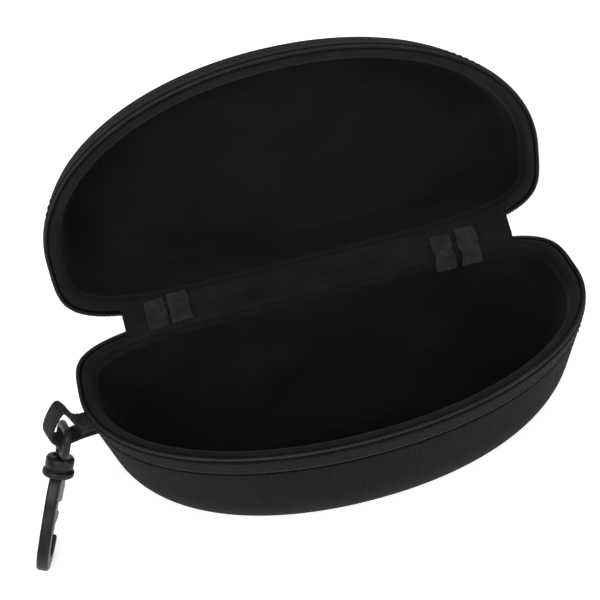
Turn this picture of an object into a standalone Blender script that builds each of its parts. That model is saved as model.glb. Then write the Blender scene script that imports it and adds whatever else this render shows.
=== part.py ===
"""Zip-round moulded eyeglasses case, open, with a webbing loop and a swivel snap hook.

Frame: metres, +Z up, X along the lid hinge, -Y towards the front opening.  The origin is on the
flat foot under the middle of the case.  The case stands open at its rest angle.
"""
import math

import bmesh
import bpy
from mathutils import Matrix, Vector

MM = 0.001
GAP = 0.3 * MM                      # clearance between pieces that touch

# ---- driving dimensions -------------------------------------------------------------------
HALF_LENGTH = 84.0 * MM             # half of the case's length along the hinge
CASE_DEPTH = 80.0 * MM              # hinge line to the front of the rim
WIDEST_FROM_HINGE = 27.3 * MM       # where the plan outline is longest
FRONT_EXPONENT = 2.06               # nearly elliptical front
BACK_EXPONENT = 4.4                 # squarer at the hinge side
BASE_HEIGHT = 42.0 * MM             # foot to parting plane
LID_HEIGHT = 27.0 * MM              # parting plane to the top of the closed lid
OPEN_ANGLE = math.radians(98.0)     # lid opening at rest
HINGE_Y = CASE_DEPTH / 2
WIDEST_Y = HINGE_Y - WIDEST_FROM_HINGE
FRONT_REACH = CASE_DEPTH - WIDEST_FROM_HINGE
HINGE_POINT = Vector((0.0, HINGE_Y, BASE_HEIGHT))

# ---- wall layers, from the outside in -----------------------------------------------------
COVER_THICK = 0.8 * MM
SHELL_THICK = 3.0 * MM
LINING_THICK = 0.8 * MM
SHELL_OFFSET = COVER_THICK + GAP
LINING_OFFSET = SHELL_OFFSET + SHELL_THICK + GAP
WALL_THICK = LINING_OFFSET + LINING_THICK

# ---- rim: zip tape, coil and binding, as depths below the parting plane --------------------
COIL_RADIUS = 0.9 * MM
COIL_DEPTH = 1.15 * MM
COIL_INSET = 0.95 * MM
TAPE_TOP = COIL_DEPTH + COIL_RADIUS + GAP
TAPE_BOTTOM = 8.0 * MM
LEAF_TOP = 0.15 * MM
BINDING_TOP = 1.0 * MM
BINDING_BOTTOM = 2.1 * MM
BINDING_INSET = 2.2 * MM
WALL_TOP = BINDING_BOTTOM + GAP
COVER_TOP = TAPE_BOTTOM + GAP
ZIP_END = math.radians(52.0)        # how far behind the case's ends the zip runs, as an outline angle
STOP_LENGTH = math.radians(1.4)     # zip stop at the left end of each coil, as an outline angle
END_GAP = math.radians(0.3)         # clearance along the rim, as an outline angle

# ---- tape ends turned in over the hinge ----------------------------------------------------
TAB_WIDTH = 7.0 * MM
TAB_THICK = 0.5 * MM
TABS = {                               # middle of each tape end, and its length up the lid and down the base
    "left_outer": (-53.5 * MM, 4.0 * MM, 1.4 * MM), "left_inner": (-45.5 * MM, 5.0 * MM, 1.4 * MM),
    "right_inner": (45.3 * MM, 1.2 * MM, 7.5 * MM), "right_outer": (54.3 * MM, 2.0 * MM, 6.6 * MM)}

# ---- zip slider and its pull, parked at the right-hand end of the zip ----------------------
SLIDER_X = 62.5 * MM
SLIDER_LENGTH = 8.0 * MM
SLIDER_HEIGHT = 7.4 * MM
SLIDER_THICK = 1.6 * MM
PULL_LENGTH = 17.0 * MM
PULL_WIDTH = 5.6 * MM
PULL_THICK = 1.2 * MM
PULL_OUT = 1.0 * MM                 # pull pivot behind the slider's outer face
PULL_DOWN = 4.7 * MM                # pull pivot below the parting plane
BAIL_WIRE = 0.5 * MM
BAIL_LEG = 1.5 * MM                 # height of each bail leg from the pull pivot
SLIDER_RISE = 0.2 * MM              # slider's top above the parting plane

# ---- webbing loop at the left end ----------------------------------------------------------
STRAP_Y = 1.6 * MM
STRAP_NECK_X = -84.0 * MM
STRAP_TWIST = math.radians(16.0)       # turn of the loop about a vertical line through its neck
STRAP_WIDTH = 6.8 * MM

# ---- swivel snap hook, hanging from the loop and leaning on the table ----------------------
HOOK_PIVOT = Vector((-89.2 * MM, 0.5 * MM, BASE_HEIGHT - 1.9 * MM))
HOOK_TILT_FRONT = math.radians(-21.2)
HOOK_TILT_LEFT = math.radians(24.2)
HOOK_TURN = math.radians(159.0)     # resting turn of the hook about its swivel
EYE_WIRE = 1.2 * MM
EYE_HALF_WIDTH = 5.8 * MM
EYE_DROP = 7.5 * MM
POST_RADIUS = 1.3 * MM
POST_HEAD_RADIUS = 2.1 * MM
POST_HEAD_TOP = 12.9 * MM
POST_END = 13.9 * MM
COLLAR_TOP = 9.0 * MM
FLANGE_TOP = 13.3 * MM
COLLAR_BOTTOM = 15.4 * MM
COLLAR_RADIUS = 4.4 * MM
FLANGE_RADIUS = 4.9 * MM
BORE_RADIUS = POST_RADIUS + GAP
CHAMBER_RADIUS = POST_HEAD_RADIUS + GAP
HOOK_THICK = 3.7 * MM
GATE_THICK = 1.6 * MM
GATE_PIVOT = (-4.6 * MM, -22.6 * MM)  # across and along the hook
PIN_RADIUS = 0.7 * MM

RING_POINTS = 60                    # points round a plan outline
RING_STEP = 2.0 * math.pi / RING_POINTS


class Half:
    """The shape of one moulded half, measured away from the parting plane."""

    def __init__(self, height, draft, fillet, fillet_height):
        self.height = height
        self.draft = draft                  # end, front and back lean of the wall over its height
        self.fillet = fillet                # end, front and back reach of the rounded bottom edge
        self.fillet_height = fillet_height

    def insets(self, depth, offset, turn):
        """End, front and back inset at one level; turn is 0 on the wall and 90 degrees at the foot."""
        lean = min(depth / self.height, 1.0)
        bend = 1.0 - math.cos(turn)
        return [draft * lean + max(reach - offset, 0.4 * MM) * bend + offset
                for draft, reach in zip(self.draft, self.fillet)]

    def levels(self, offset, top, wall_steps=2, fillet_steps=4):
        """(depth, insets) from the rim to the flat bottom of the surface at this offset."""
        shoulder = self.height - self.fillet_height
        rows = []
        for step in range(wall_steps):
            depth = top + (shoulder - top) * step / wall_steps
            rows.append((depth, self.insets(depth, offset, 0.0)))
        for step in range(fillet_steps + 1):
            turn = math.pi / 2 * step / fillet_steps
            depth = shoulder + (self.fillet_height - offset) * math.sin(turn)
            rows.append((depth, self.insets(depth, offset, turn)))
        return rows


BASE = Half(BASE_HEIGHT, (10.5 * MM, 8.0 * MM, 1.0 * MM), (13.0 * MM, 11.0 * MM, 6.0 * MM), 18.0 * MM)
LID = Half(LID_HEIGHT, (5.0 * MM, 5.0 * MM, 1.0 * MM), (14.0 * MM, 14.0 * MM, 6.0 * MM), 13.5 * MM)


def outline(angle, insets):
    """Plan point at an angle: 0 is the right end, 90 degrees the front, 270 degrees the hinge."""
    end, front, back = insets
    cosine, sine = math.cos(angle), math.sin(angle)
    forward = sine >= 0.0
    power = FRONT_EXPONENT if forward else BACK_EXPONENT
    radius = (abs(cosine) ** power + abs(sine) ** power) ** (-1.0 / power)
    reach = FRONT_REACH - front if forward else WIDEST_FROM_HINGE - back
    return (HALF_LENGTH - end) * radius * cosine, WIDEST_Y - reach * radius * sine


def place(half, angle, depth, insets):
    """World point of the base, or hinge-frame point of the closed lid."""
    x, y = outline(angle, insets)
    if half is BASE:
        return Vector((x, y, BASE_HEIGHT - depth))
    return Vector((x, y - HINGE_Y, depth))


def wall_point(half, angle, depth, offset):
    return place(half, angle, depth, half.insets(depth, offset, 0.0))


def hinge_to_wall(half, x, depth, offset):
    """How far in front of the hinge line the back wall lies at this X."""
    end, _, back = half.insets(depth, offset, 0.0)
    share = (1.0 - (abs(x) / (HALF_LENGTH - end)) ** BACK_EXPONENT) ** (1.0 / BACK_EXPONENT)
    return WIDEST_FROM_HINGE - (WIDEST_FROM_HINGE - back) * share


def rim_angles(start, end):
    """Outline angles from start to end, using the points that every layer shares in between."""
    first = math.floor(start / RING_STEP + 1e-6) + 1
    last = math.ceil(end / RING_STEP - 1e-6) - 1
    return [start] + [index * RING_STEP for index in range(first, last + 1)] + [end]


# ---- scene set-up and small helpers --------------------------------------------------------
for old in list(bpy.data.objects):
    bpy.data.objects.remove(old, do_unlink=True)

parts = bpy.data.collections.new("eyeglasses_case")
cutters = bpy.data.collections.new("cutters")
for group in (parts, cutters):
    bpy.context.scene.collection.children.link(group)


def material(name, colour, roughness, metallic=0.0):
    result = bpy.data.materials.new(name)
    result.use_nodes = True
    shader = result.node_tree.nodes["Principled BSDF"]
    shader.inputs["Base Color"].default_value = (*colour, 1.0)
    shader.inputs["Roughness"].default_value = roughness
    shader.inputs["Metallic"].default_value = metallic
    return result


COVER_CLOTH = material("cover_cloth", (0.018, 0.018, 0.019), 0.85)
FOAM = material("eva_foam", (0.025, 0.025, 0.026), 0.7)
LINING_CLOTH = material("lining_cloth", (0.016, 0.016, 0.017), 0.95)
TAPE_CLOTH = material("zip_tape_cloth", (0.022, 0.022, 0.023), 0.8)
COIL_PLASTIC = material("zip_coil_plastic", (0.03, 0.03, 0.032), 0.4)
RAW_TAPE = material("raw_tape_cloth", (0.075, 0.075, 0.07), 0.9)
WEBBING = material("webbing_cloth", (0.03, 0.03, 0.03), 0.8)
HOOK_PLASTIC = material("hook_plastic", (0.012, 0.012, 0.013), 0.25)
ZIP_METAL = material("zip_metal", (0.03, 0.03, 0.032), 0.35, 0.9)
SPRING_STEEL = material("spring_steel", (0.5, 0.5, 0.52), 0.3, 1.0)


def empty(name, location, rotation=(0.0, 0.0, 0.0), parent=None):
    result = bpy.data.objects.new(name, None)
    result.empty_display_size = 0.01
    result.location = location
    result.rotation_euler = rotation
    result.parent = parent
    parts.objects.link(result)
    return result


def add_object(name, data, parent=None, look=None, group=parts):
    result = bpy.data.objects.new(name, data)
    result.parent = parent
    if look is not None:
        data.materials.append(look)
    group.objects.link(result)
    return result


def finish_mesh(name, mesh_data, parent, look, group=parts, sharp=35.0):
    bmesh.ops.recalc_face_normals(mesh_data, faces=mesh_data.faces)
    mesh = bpy.data.meshes.new(name)
    mesh_data.to_mesh(mesh)
    mesh_data.free()
    mesh.shade_smooth()
    mesh.set_sharp_from_angle(angle=math.radians(sharp))
    return add_object(name, mesh, parent, look, group)


def bridge(mesh_data, lower, upper, closed=True):
    """Quads between two rows of vertices of equal length."""
    count = len(lower)
    for index in range(count if closed else count - 1):
        follower = (index + 1) % count
        mesh_data.faces.new((lower[index], lower[follower], upper[follower], upper[index]))


def curve_to_mesh(curve_object, look):
    """Replace a curve by a welded mesh object that can be cut."""
    bpy.context.view_layer.update()
    evaluated = curve_object.evaluated_get(bpy.context.evaluated_depsgraph_get())
    mesh = bpy.data.meshes.new_from_object(evaluated)
    mesh_data = bmesh.new()
    mesh_data.from_mesh(mesh)
    bmesh.ops.remove_doubles(mesh_data, verts=mesh_data.verts, dist=0.01 * MM)
    mesh_data.to_mesh(mesh)
    mesh_data.free()
    mesh.materials.clear()
    name, parent = curve_object.name, curve_object.parent
    group = curve_object.users_collection[0]
    basis = curve_object.matrix_basis.copy()
    bpy.data.objects.remove(curve_object, do_unlink=True)
    result = add_object(name, mesh, parent, look, group)
    result.matrix_basis = basis
    return result


def tube(name, points, radius, parent, look, closed=False, sides=2):
    """A round wire through the points."""
    curve = bpy.data.curves.new(name, "CURVE")
    curve.dimensions = "3D"
    curve.bevel_depth = radius
    curve.bevel_resolution = sides
    curve.use_fill_caps = not closed
    spline = curve.splines.new("POLY")
    spline.points.add(len(points) - 1)
    for target, point in zip(spline.points, points):
        target.co = (*point, 1.0)
    spline.use_cyclic_u = closed
    return add_object(name, curve, parent, look)


def flat_curve(name, outlines, thickness, parent, look, matrix=None, group=parts):
    """A flat piece cut from closed outlines, as thick as stated along its own Z."""
    curve = bpy.data.curves.new(name, "CURVE")
    curve.dimensions = "2D"
    curve.fill_mode = "BOTH"
    curve.extrude = thickness / 2
    curve.resolution_u = 4
    for points, smooth in outlines:
        spline = curve.splines.new("BEZIER" if smooth else "POLY")
        knots = spline.bezier_points if smooth else spline.points
        knots.add(len(points) - 1)
        for target, (across, along) in zip(knots, points):
            if smooth:
                target.co = (across, along, 0.0)
                target.handle_left_type = "AUTO"
                target.handle_right_type = "AUTO"
            else:
                target.co = (across, along, 0.0, 1.0)
        spline.use_cyclic_u = True
    result = add_object(name, curve, parent, look, group)
    if matrix is not None:
        result.matrix_basis = matrix
    return result


def cylinder(name, radius, length, parent, look, matrix, group=parts, sides=24):
    mesh_data = bmesh.new()
    bmesh.ops.create_cone(mesh_data, cap_ends=True, segments=sides, radius1=radius,
                          radius2=radius, depth=length)
    result = finish_mesh(name, mesh_data, parent, look, group)
    result.matrix_basis = matrix
    return result


def box(name, size, centre, parent, look, group=parts, bevel=0.0):
    mesh_data = bmesh.new()
    bmesh.ops.create_cube(mesh_data, size=1.0, matrix=Matrix.Diagonal((*size, 1.0)))
    result = finish_mesh(name, mesh_data, parent, look, group)
    result.location = centre
    if bevel:
        edge = result.modifiers.new("rounded_edges", "BEVEL")
        edge.width = bevel
        edge.segments = 2
    return result


def boolean(target, cutter, operation):
    change = target.modifiers.new(operation.lower() + "_" + cutter.name, "BOOLEAN")
    change.operation = operation
    change.object = cutter
    cutter.hide_render = True
    cutter.display_type = "WIRE"


# ---- moulded halves ------------------------------------------------------------------------
def bowl(name, half, outer_offset, inner_offset, top, parent, look):
    """A bowl-shaped layer between two offsets, flat at the rim and closed everywhere else."""
    mesh_data = bmesh.new()
    angles = [index * RING_STEP for index in range(RING_POINTS)]
    surfaces = []
    for offset in (outer_offset, inner_offset):
        rows = [[mesh_data.verts.new(place(half, angle, depth, insets)) for angle in angles]
                for depth, insets in half.levels(offset, top)]
        for upper, lower in zip(rows, rows[1:]):
            bridge(mesh_data, upper, lower)
        mesh_data.faces.new(rows[-1])
        surfaces.append(rows)
    bridge(mesh_data, surfaces[0][0], surfaces[1][0])
    return finish_mesh(name, mesh_data, parent, look)


def rim_band(name, half, angles, depths, offsets, parent, look, closed=False):
    """A band that follows the wall through these outline angles, with a rectangular section."""
    mesh_data = bmesh.new()
    (top, bottom), (outer, inner) = depths, offsets
    corners = ((top, outer), (bottom, outer), (bottom, inner), (top, inner))
    rows = [[mesh_data.verts.new(wall_point(half, angle, depth, offset)) for depth, offset in corners]
            for angle in angles]
    for first, second in zip(rows, rows[1:]):
        bridge(mesh_data, first, second)
    if closed:
        bridge(mesh_data, rows[-1], rows[0])
    else:
        mesh_data.faces.new(rows[0])
        mesh_data.faces.new(rows[-1])
    return finish_mesh(name, mesh_data, parent, look)


def moulded_half(prefix, half, parent):
    """All the layers that one half of the case is sewn and moulded from."""
    zip_start, zip_stop = -ZIP_END, math.pi + ZIP_END
    coil_end = zip_stop - STOP_LENGTH - END_GAP
    coil_depths = (COIL_DEPTH - COIL_RADIUS, COIL_DEPTH + COIL_RADIUS)
    bowl(prefix + "_cover", half, 0.0, COVER_THICK, COVER_TOP, parent, COVER_CLOTH)
    bowl(prefix + "_shell", half, SHELL_OFFSET, SHELL_OFFSET + SHELL_THICK, WALL_TOP, parent, FOAM)
    bowl(prefix + "_lining", half, LINING_OFFSET, WALL_THICK, WALL_TOP, parent, LINING_CLOTH)
    rim_band(prefix + "_rim_binding", half, [index * RING_STEP for index in range(RING_POINTS)],
             (BINDING_TOP, BINDING_BOTTOM), (BINDING_INSET, WALL_THICK), parent, LINING_CLOTH, closed=True)
    rim_band(prefix + "_zip_tape", half, rim_angles(zip_start, zip_stop), (TAPE_TOP, TAPE_BOTTOM),
             (0.0, COVER_THICK), parent, TAPE_CLOTH)
    rim_band(prefix + "_hinge_tape", half, rim_angles(zip_stop + END_GAP, 2 * math.pi + zip_start - END_GAP),
             (LEAF_TOP, TAPE_BOTTOM), (0.0, COVER_THICK), parent, TAPE_CLOTH)
    coil_path = [wall_point(half, angle, COIL_DEPTH, COIL_INSET) for angle in rim_angles(zip_start, coil_end)]
    tube(prefix + "_zip_coil", coil_path, COIL_RADIUS, parent, COIL_PLASTIC)
    rim_band(prefix + "_zip_stop", half, rim_angles(coil_end + END_GAP, zip_stop), coil_depths,
             (COIL_INSET - COIL_RADIUS, COIL_INSET + COIL_RADIUS), parent, ZIP_METAL)


def tape_end(name, centre, profile_at, parent):
    """A short strip of tape, TAB_WIDTH wide, with its (Y, Z) profile following the wall at each side."""
    mesh_data = bmesh.new()
    rows = []
    for x in (centre - TAB_WIDTH / 2, centre + TAB_WIDTH / 2):
        rows.append([mesh_data.verts.new((x, across, height)) for across, height in profile_at(x)])
    bridge(mesh_data, rows[0], rows[1])
    mesh_data.faces.new(rows[0])
    mesh_data.faces.new(rows[1])
    return finish_mesh(name, mesh_data, parent, RAW_TAPE)


def base_tape_end_profile(x, length):
    """(distance in front of the hinge, depth) round the strip, over the base's rim and down inside."""
    start = hinge_to_wall(BASE, x, LEAF_TOP, COVER_THICK) + GAP
    edge = hinge_to_wall(BASE, x, WALL_TOP, WALL_THICK) + GAP
    drop = hinge_to_wall(BASE, x, length, WALL_THICK) + GAP
    under = LEAF_TOP + TAB_THICK
    return [(start, LEAF_TOP), (edge + TAB_THICK, LEAF_TOP), (drop + TAB_THICK, length),
            (drop, length), (edge, under), (start, under)]


def lid_tape_end_profile(x, length):
    """(distance in front of the hinge, depth) round the strip lying on the lid's rim."""
    start = hinge_to_wall(LID, x, LEAF_TOP, COVER_THICK) + GAP
    under = LEAF_TOP + TAB_THICK
    return [(start, LEAF_TOP), (start + length, LEAF_TOP), (start + length, under), (start, under)]


def tape_ends(lid_parent):
    """Four zip tape ends lie over the hinge inside; each is split at the hinge line."""
    for side, (centre, up, down) in TABS.items():
        in_base = base_tape_end_profile
        on_lid = lid_tape_end_profile
        tape_end(side + "_tape_end_base", centre,
                 lambda x: [(HINGE_Y - near, BASE_HEIGHT - depth) for near, depth in in_base(x, down)], None)
        tape_end(side + "_tape_end_lid", centre,
                 lambda x: [(-near, depth) for near, depth in on_lid(x, up)], lid_parent)


# ---- zip slider and pull -------------------------------------------------------------------
def zip_slider():
    half_slider = SLIDER_LENGTH / 2
    near, middle, far = (hinge_to_wall(BASE, SLIDER_X + shift, 0.0, 0.0)
                         for shift in (-half_slider, 0.0, half_slider))
    turn = -math.atan2(far - near, SLIDER_LENGTH)
    carriage = empty("zip_slide_axis", (SLIDER_X, HINGE_Y - middle + GAP, BASE_HEIGHT), (0.0, 0.0, turn))
    slider = box("zip_slider", (SLIDER_LENGTH, SLIDER_THICK, SLIDER_HEIGHT),
                 (0.0, SLIDER_THICK / 2, SLIDER_RISE - SLIDER_HEIGHT / 2), carriage, ZIP_METAL, bevel=0.5 * MM)
    reach = SLIDER_THICK + PULL_OUT + PULL_THICK / 2 + 0.4 * MM + BAIL_WIRE
    legs = ((0.5 * MM, BAIL_LEG), (reach - 0.7 * MM, BAIL_LEG), (reach, BAIL_LEG - 0.7 * MM),
            (reach, 0.7 * MM - BAIL_LEG), (reach - 0.7 * MM, -BAIL_LEG), (0.5 * MM, -BAIL_LEG))
    bail = tube("slider_bail", [(0.0, out, up - PULL_DOWN) for out, up in legs], BAIL_WIRE, carriage, None)
    cutters.objects.link(bail)
    parts.objects.unlink(bail)
    bail = curve_to_mesh(bail, None)
    boolean(slider, bail, "UNION")

    swing_axis = empty("zip_pull_axis", (0.0, SLIDER_THICK + PULL_OUT, -PULL_DOWN), parent=carriage)
    half = PULL_WIDTH / 2
    foot = 0.6 * MM - PULL_LENGTH
    body = [(-1.6 * MM, 0.6 * MM), (1.6 * MM, 0.6 * MM), (half * 0.8, -1.0 * MM), (half, -5.0 * MM),
            (half, foot + 1.6 * MM), (half * 0.6, foot), (-half * 0.6, foot), (-half, foot + 1.6 * MM),
            (-half, -5.0 * MM), (-half * 0.8, -1.0 * MM)]
    hole = [(-1.2 * MM, -0.6 * MM), (1.2 * MM, -0.6 * MM), (1.2 * MM, -3.6 * MM), (-1.2 * MM, -3.6 * MM)]
    upright = Matrix.Rotation(math.radians(90.0), 4, "X")
    flat_curve("zip_pull", [(body, False), (hole, False)], PULL_THICK, swing_axis, ZIP_METAL, upright)


# ---- webbing loop --------------------------------------------------------------------------
def strap_loop():
    """A short webbing loop sewn to the left end at the rim, standing open like a teardrop."""
    outer = [(5.0, -6.8), (-1.5, -5.8), (-5.6, -5.5), (-9.8, -4.4), (-11.4, -0.6), (-9.2, 4.0),
             (-5.3, 7.8), (-3.2, 5.5), (-2.1, 1.9), (-0.2, -0.9), (5.0, -1.8)]
    inner = [(-5.6, -4.3), (-8.9, -3.4), (-10.2, -0.5), (-8.3, 3.3), (-5.4, 6.2), (-4.2, 5.0),
             (-3.3, 1.8), (-2.3, -1.2), (-2.2, -3.4)]
    neck = Matrix.Translation((STRAP_NECK_X, STRAP_Y, BASE_HEIGHT))
    matrix = neck @ Matrix.Rotation(STRAP_TWIST, 4, "Z") @ Matrix.Rotation(math.radians(90.0), 4, "X")
    outlines = [([(x * MM, z * MM) for x, z in points], True) for points in (outer, inner)]
    loop = curve_to_mesh(flat_curve("strap_loop", outlines, STRAP_WIDTH, None, None, matrix), WEBBING)

    mesh_data = bmesh.new()
    rows = []
    clearance = [-GAP] * 3
    for depth in (-12.0 * MM, 12.0 * MM):
        rows.append([mesh_data.verts.new((*outline(2.0 * math.pi * index / 72, clearance), BASE_HEIGHT + depth))
                     for index in range(72)])
    bridge(mesh_data, rows[0], rows[1])
    mesh_data.faces.new(rows[0])
    mesh_data.faces.new(rows[1])
    wall = finish_mesh("strap_trim", mesh_data, None, None, cutters)
    boolean(loop, wall, "DIFFERENCE")


# ---- swivel snap hook ----------------------------------------------------------------------
def turned(name, profile, parent, look, group=parts, steps=24):
    """A solid turned about its own Z from (radius, height) points, listed top to bottom."""
    mesh_data = bmesh.new()
    verts = [mesh_data.verts.new((radius, 0.0, height)) for radius, height in profile]
    for first, second in zip(verts, verts[1:]):
        mesh_data.edges.new((first, second))
    mesh = bpy.data.meshes.new(name)
    mesh_data.to_mesh(mesh)
    mesh_data.free()
    result = add_object(name, mesh, parent, look, group)
    screw = result.modifiers.new("turn", "SCREW")
    screw.steps = steps
    screw.render_steps = steps
    screw.use_merge_vertices = True
    screw.merge_threshold = 0.00001
    return result


def hook_eye(parent):
    """A rounded rectangular ring of wire with a headed post that the hook turns on."""
    corner = 2.2 * MM
    corners = ((EYE_HALF_WIDTH - corner, -corner), (corner - EYE_HALF_WIDTH, -corner),
               (corner - EYE_HALF_WIDTH, corner - EYE_DROP), (EYE_HALF_WIDTH - corner, corner - EYE_DROP))
    points = []
    for quarter, (across, along) in enumerate(corners):
        for step in range(5):
            turn = math.pi / 2 * (quarter + step / 4)
            points.append((0.0, across + corner * math.cos(turn), along + corner * math.sin(turn)))
    ring = curve_to_mesh(tube("hook_eye", points, EYE_WIRE, parent, None, closed=True, sides=3), HOOK_PLASTIC)
    profile = ((0.0, -EYE_DROP), (POST_RADIUS, -EYE_DROP), (POST_RADIUS, -POST_HEAD_TOP),
               (POST_HEAD_RADIUS, -POST_HEAD_TOP), (POST_HEAD_RADIUS, -POST_END), (0.0, -POST_END))
    post = turned("eye_post", profile, parent, None, cutters, steps=16)
    boolean(ring, post, "UNION")
    return ring


def hook_body(parent):
    """The collar with its blind bore, and the flat hook plate below it."""
    profile = ((BORE_RADIUS, -COLLAR_TOP), (COLLAR_RADIUS - 0.6 * MM, -COLLAR_TOP),
               (COLLAR_RADIUS, -COLLAR_TOP - 0.6 * MM), (COLLAR_RADIUS, GAP - FLANGE_TOP),
               (FLANGE_RADIUS, -FLANGE_TOP), (FLANGE_RADIUS, -COLLAR_BOTTOM + 0.5 * MM),
               (FLANGE_RADIUS - 0.5 * MM, -COLLAR_BOTTOM), (0.0, -COLLAR_BOTTOM),
               (0.0, -POST_END - GAP), (CHAMBER_RADIUS, -POST_END - GAP),
               (CHAMBER_RADIUS, -POST_HEAD_TOP + GAP), (BORE_RADIUS, -POST_HEAD_TOP + GAP),
               (BORE_RADIUS, -COLLAR_TOP))
    collar = turned("hook_collar", profile, parent, None, cutters)
    outer = [(-3.4, -14.9), (3.4, -14.9), (5.6, -19.0), (6.6, -27.0), (6.8, -36.0), (5.8, -42.0),
             (1.4, -46.8), (-3.2, -46.2), (-6.0, -42.4), (-6.8, -39.0), (-5.7, -37.4), (-4.3, -38.4),
             (-3.2, -41.2), (-0.4, -42.4), (2.4, -40.0), (3.2, -34.0), (3.2, -25.6), (0.6, -24.0),
             (-2.0, -24.8), (-4.9, -25.6), (-6.6, -22.8), (-6.2, -18.4)]
    upright = Matrix.Rotation(math.radians(90.0), 4, "Y") @ Matrix.Rotation(math.radians(90.0), 4, "Z")
    plate = curve_to_mesh(flat_curve("hook_body", [([(y * MM, z * MM) for y, z in outer], True)],
                                     HOOK_THICK, parent, None, upright), HOOK_PLASTIC)
    boolean(plate, collar, "UNION")
    slot = box("gate_slot", (GATE_THICK + 2 * GAP, 9.4 * MM, 8.2 * MM), (0.0, -5.4 * MM, -23.8 * MM),
               parent, None, cutters)
    boolean(plate, slot, "DIFFERENCE")
    across = Matrix.Translation((0.0, *GATE_PIVOT)) @ Matrix.Rotation(math.radians(90.0), 4, "Y")
    bore = cylinder("pin_bore", PIN_RADIUS + GAP, 2 * HOOK_THICK, parent, None, across, cutters)
    boolean(plate, bore, "DIFFERENCE")
    return bore


def hook_gate(parent, bore):
    """The sprung gate: a thin lever from its pin down to the inside of the hook's nose."""
    pivot_y, pivot_z = GATE_PIVOT
    axis = empty("gate_axis", (0.0, pivot_y, pivot_z), parent=parent)
    shape = [(-6.1, -20.1), (-3.2, -20.4), (-2.6, -23.2), (-3.4, -28.0), (-2.9, -36.6), (-4.1, -37.5),
             (-5.5, -36.4), (-6.2, -34.2), (-9.6, -33.4), (-10.2, -31.6), (-8.8, -30.6), (-6.8, -29.2),
             (-6.8, -22.6)]
    outline_points = [(y * MM - pivot_y, z * MM - pivot_z) for y, z in shape]
    upright = Matrix.Rotation(math.radians(90.0), 4, "Y") @ Matrix.Rotation(math.radians(90.0), 4, "Z")
    gate = curve_to_mesh(flat_curve("hook_gate", [(outline_points, True)], GATE_THICK, axis, None, upright),
                         HOOK_PLASTIC)
    boolean(gate, bore, "DIFFERENCE")
    across = Matrix.Translation((0.0, *GATE_PIVOT)) @ Matrix.Rotation(math.radians(90.0), 4, "Y")
    cylinder("gate_pin", PIN_RADIUS, HOOK_THICK, parent, SPRING_STEEL, across, sides=16)


def snap_hook():
    swing = empty("hook_swing_axis", HOOK_PIVOT, (HOOK_TILT_FRONT, HOOK_TILT_LEFT, 0.0))
    hook_eye(swing)
    swivel = empty("hook_swivel_axis", (0.0, 0.0, 0.0), (0.0, 0.0, HOOK_TURN), parent=swing)
    bore = hook_body(swivel)
    hook_gate(swivel, bore)


# ---- assembly ------------------------------------------------------------------------------
lid_axis = empty("lid_hinge_axis", HINGE_POINT, (-OPEN_ANGLE, 0.0, 0.0))
moulded_half("base", BASE, None)
moulded_half("lid", LID, lid_axis)
tape_ends(lid_axis)
zip_slider()
strap_loop()
snap_hook()
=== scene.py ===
"""Looks of the open, zip-round eyeglasses case: cloth, foam, zip, webbing and the plastic snap hook.

X runs along the hinge, Y from the front of the case to the hinge, Z up from the table. Points on a half are given
by X, the distance in front of the hinge, and the depth behind the parting plane, where the two rims meet when the
case is closed. An offset is a distance inwards from the outside of the cover.
"""
import math

import bmesh
import bpy
import numpy as np
from mathutils import Matrix, Vector


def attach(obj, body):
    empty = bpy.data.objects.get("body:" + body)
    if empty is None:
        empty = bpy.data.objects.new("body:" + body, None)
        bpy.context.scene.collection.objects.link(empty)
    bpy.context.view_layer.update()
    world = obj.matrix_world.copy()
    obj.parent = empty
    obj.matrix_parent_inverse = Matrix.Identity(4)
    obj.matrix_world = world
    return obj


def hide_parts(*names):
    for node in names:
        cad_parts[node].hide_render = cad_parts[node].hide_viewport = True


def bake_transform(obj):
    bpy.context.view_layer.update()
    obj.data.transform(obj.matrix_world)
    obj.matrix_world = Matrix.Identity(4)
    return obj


MM = 0.001

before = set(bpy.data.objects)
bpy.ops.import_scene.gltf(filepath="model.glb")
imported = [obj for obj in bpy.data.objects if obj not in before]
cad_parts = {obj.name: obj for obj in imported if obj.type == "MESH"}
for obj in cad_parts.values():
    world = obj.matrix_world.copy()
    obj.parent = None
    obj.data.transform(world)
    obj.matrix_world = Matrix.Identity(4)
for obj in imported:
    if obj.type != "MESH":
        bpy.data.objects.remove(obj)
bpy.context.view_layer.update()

# ---- the case's driving sizes, the same as the CAD's ----------------------------------------
HALF_LENGTH = 84.0 * MM
CASE_DEPTH = 80.0 * MM
WIDEST_FROM_HINGE = 27.3 * MM
FRONT_EXPONENT = 2.06
BACK_EXPONENT = 4.4
RIM_Z = 42.0 * MM
HINGE_Y = CASE_DEPTH / 2
FRONT_REACH = CASE_DEPTH - WIDEST_FROM_HINGE
OPEN_ANGLE = math.radians(98.0)
COVER_THICK = 0.8 * MM
SHELL_OUTER, SHELL_INNER = 1.1 * MM, 4.1 * MM
LINING_OUTER, LINING_INNER = 4.4 * MM, 5.2 * MM
ZIP_END = math.radians(52.0)
COVER_TOP = 8.3 * MM
WALL_TOP = 2.4 * MM
COIL_DEPTH, COIL_INSET = 1.15 * MM, 0.95 * MM
SMALLEST_FILLET = 0.4 * MM


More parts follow.
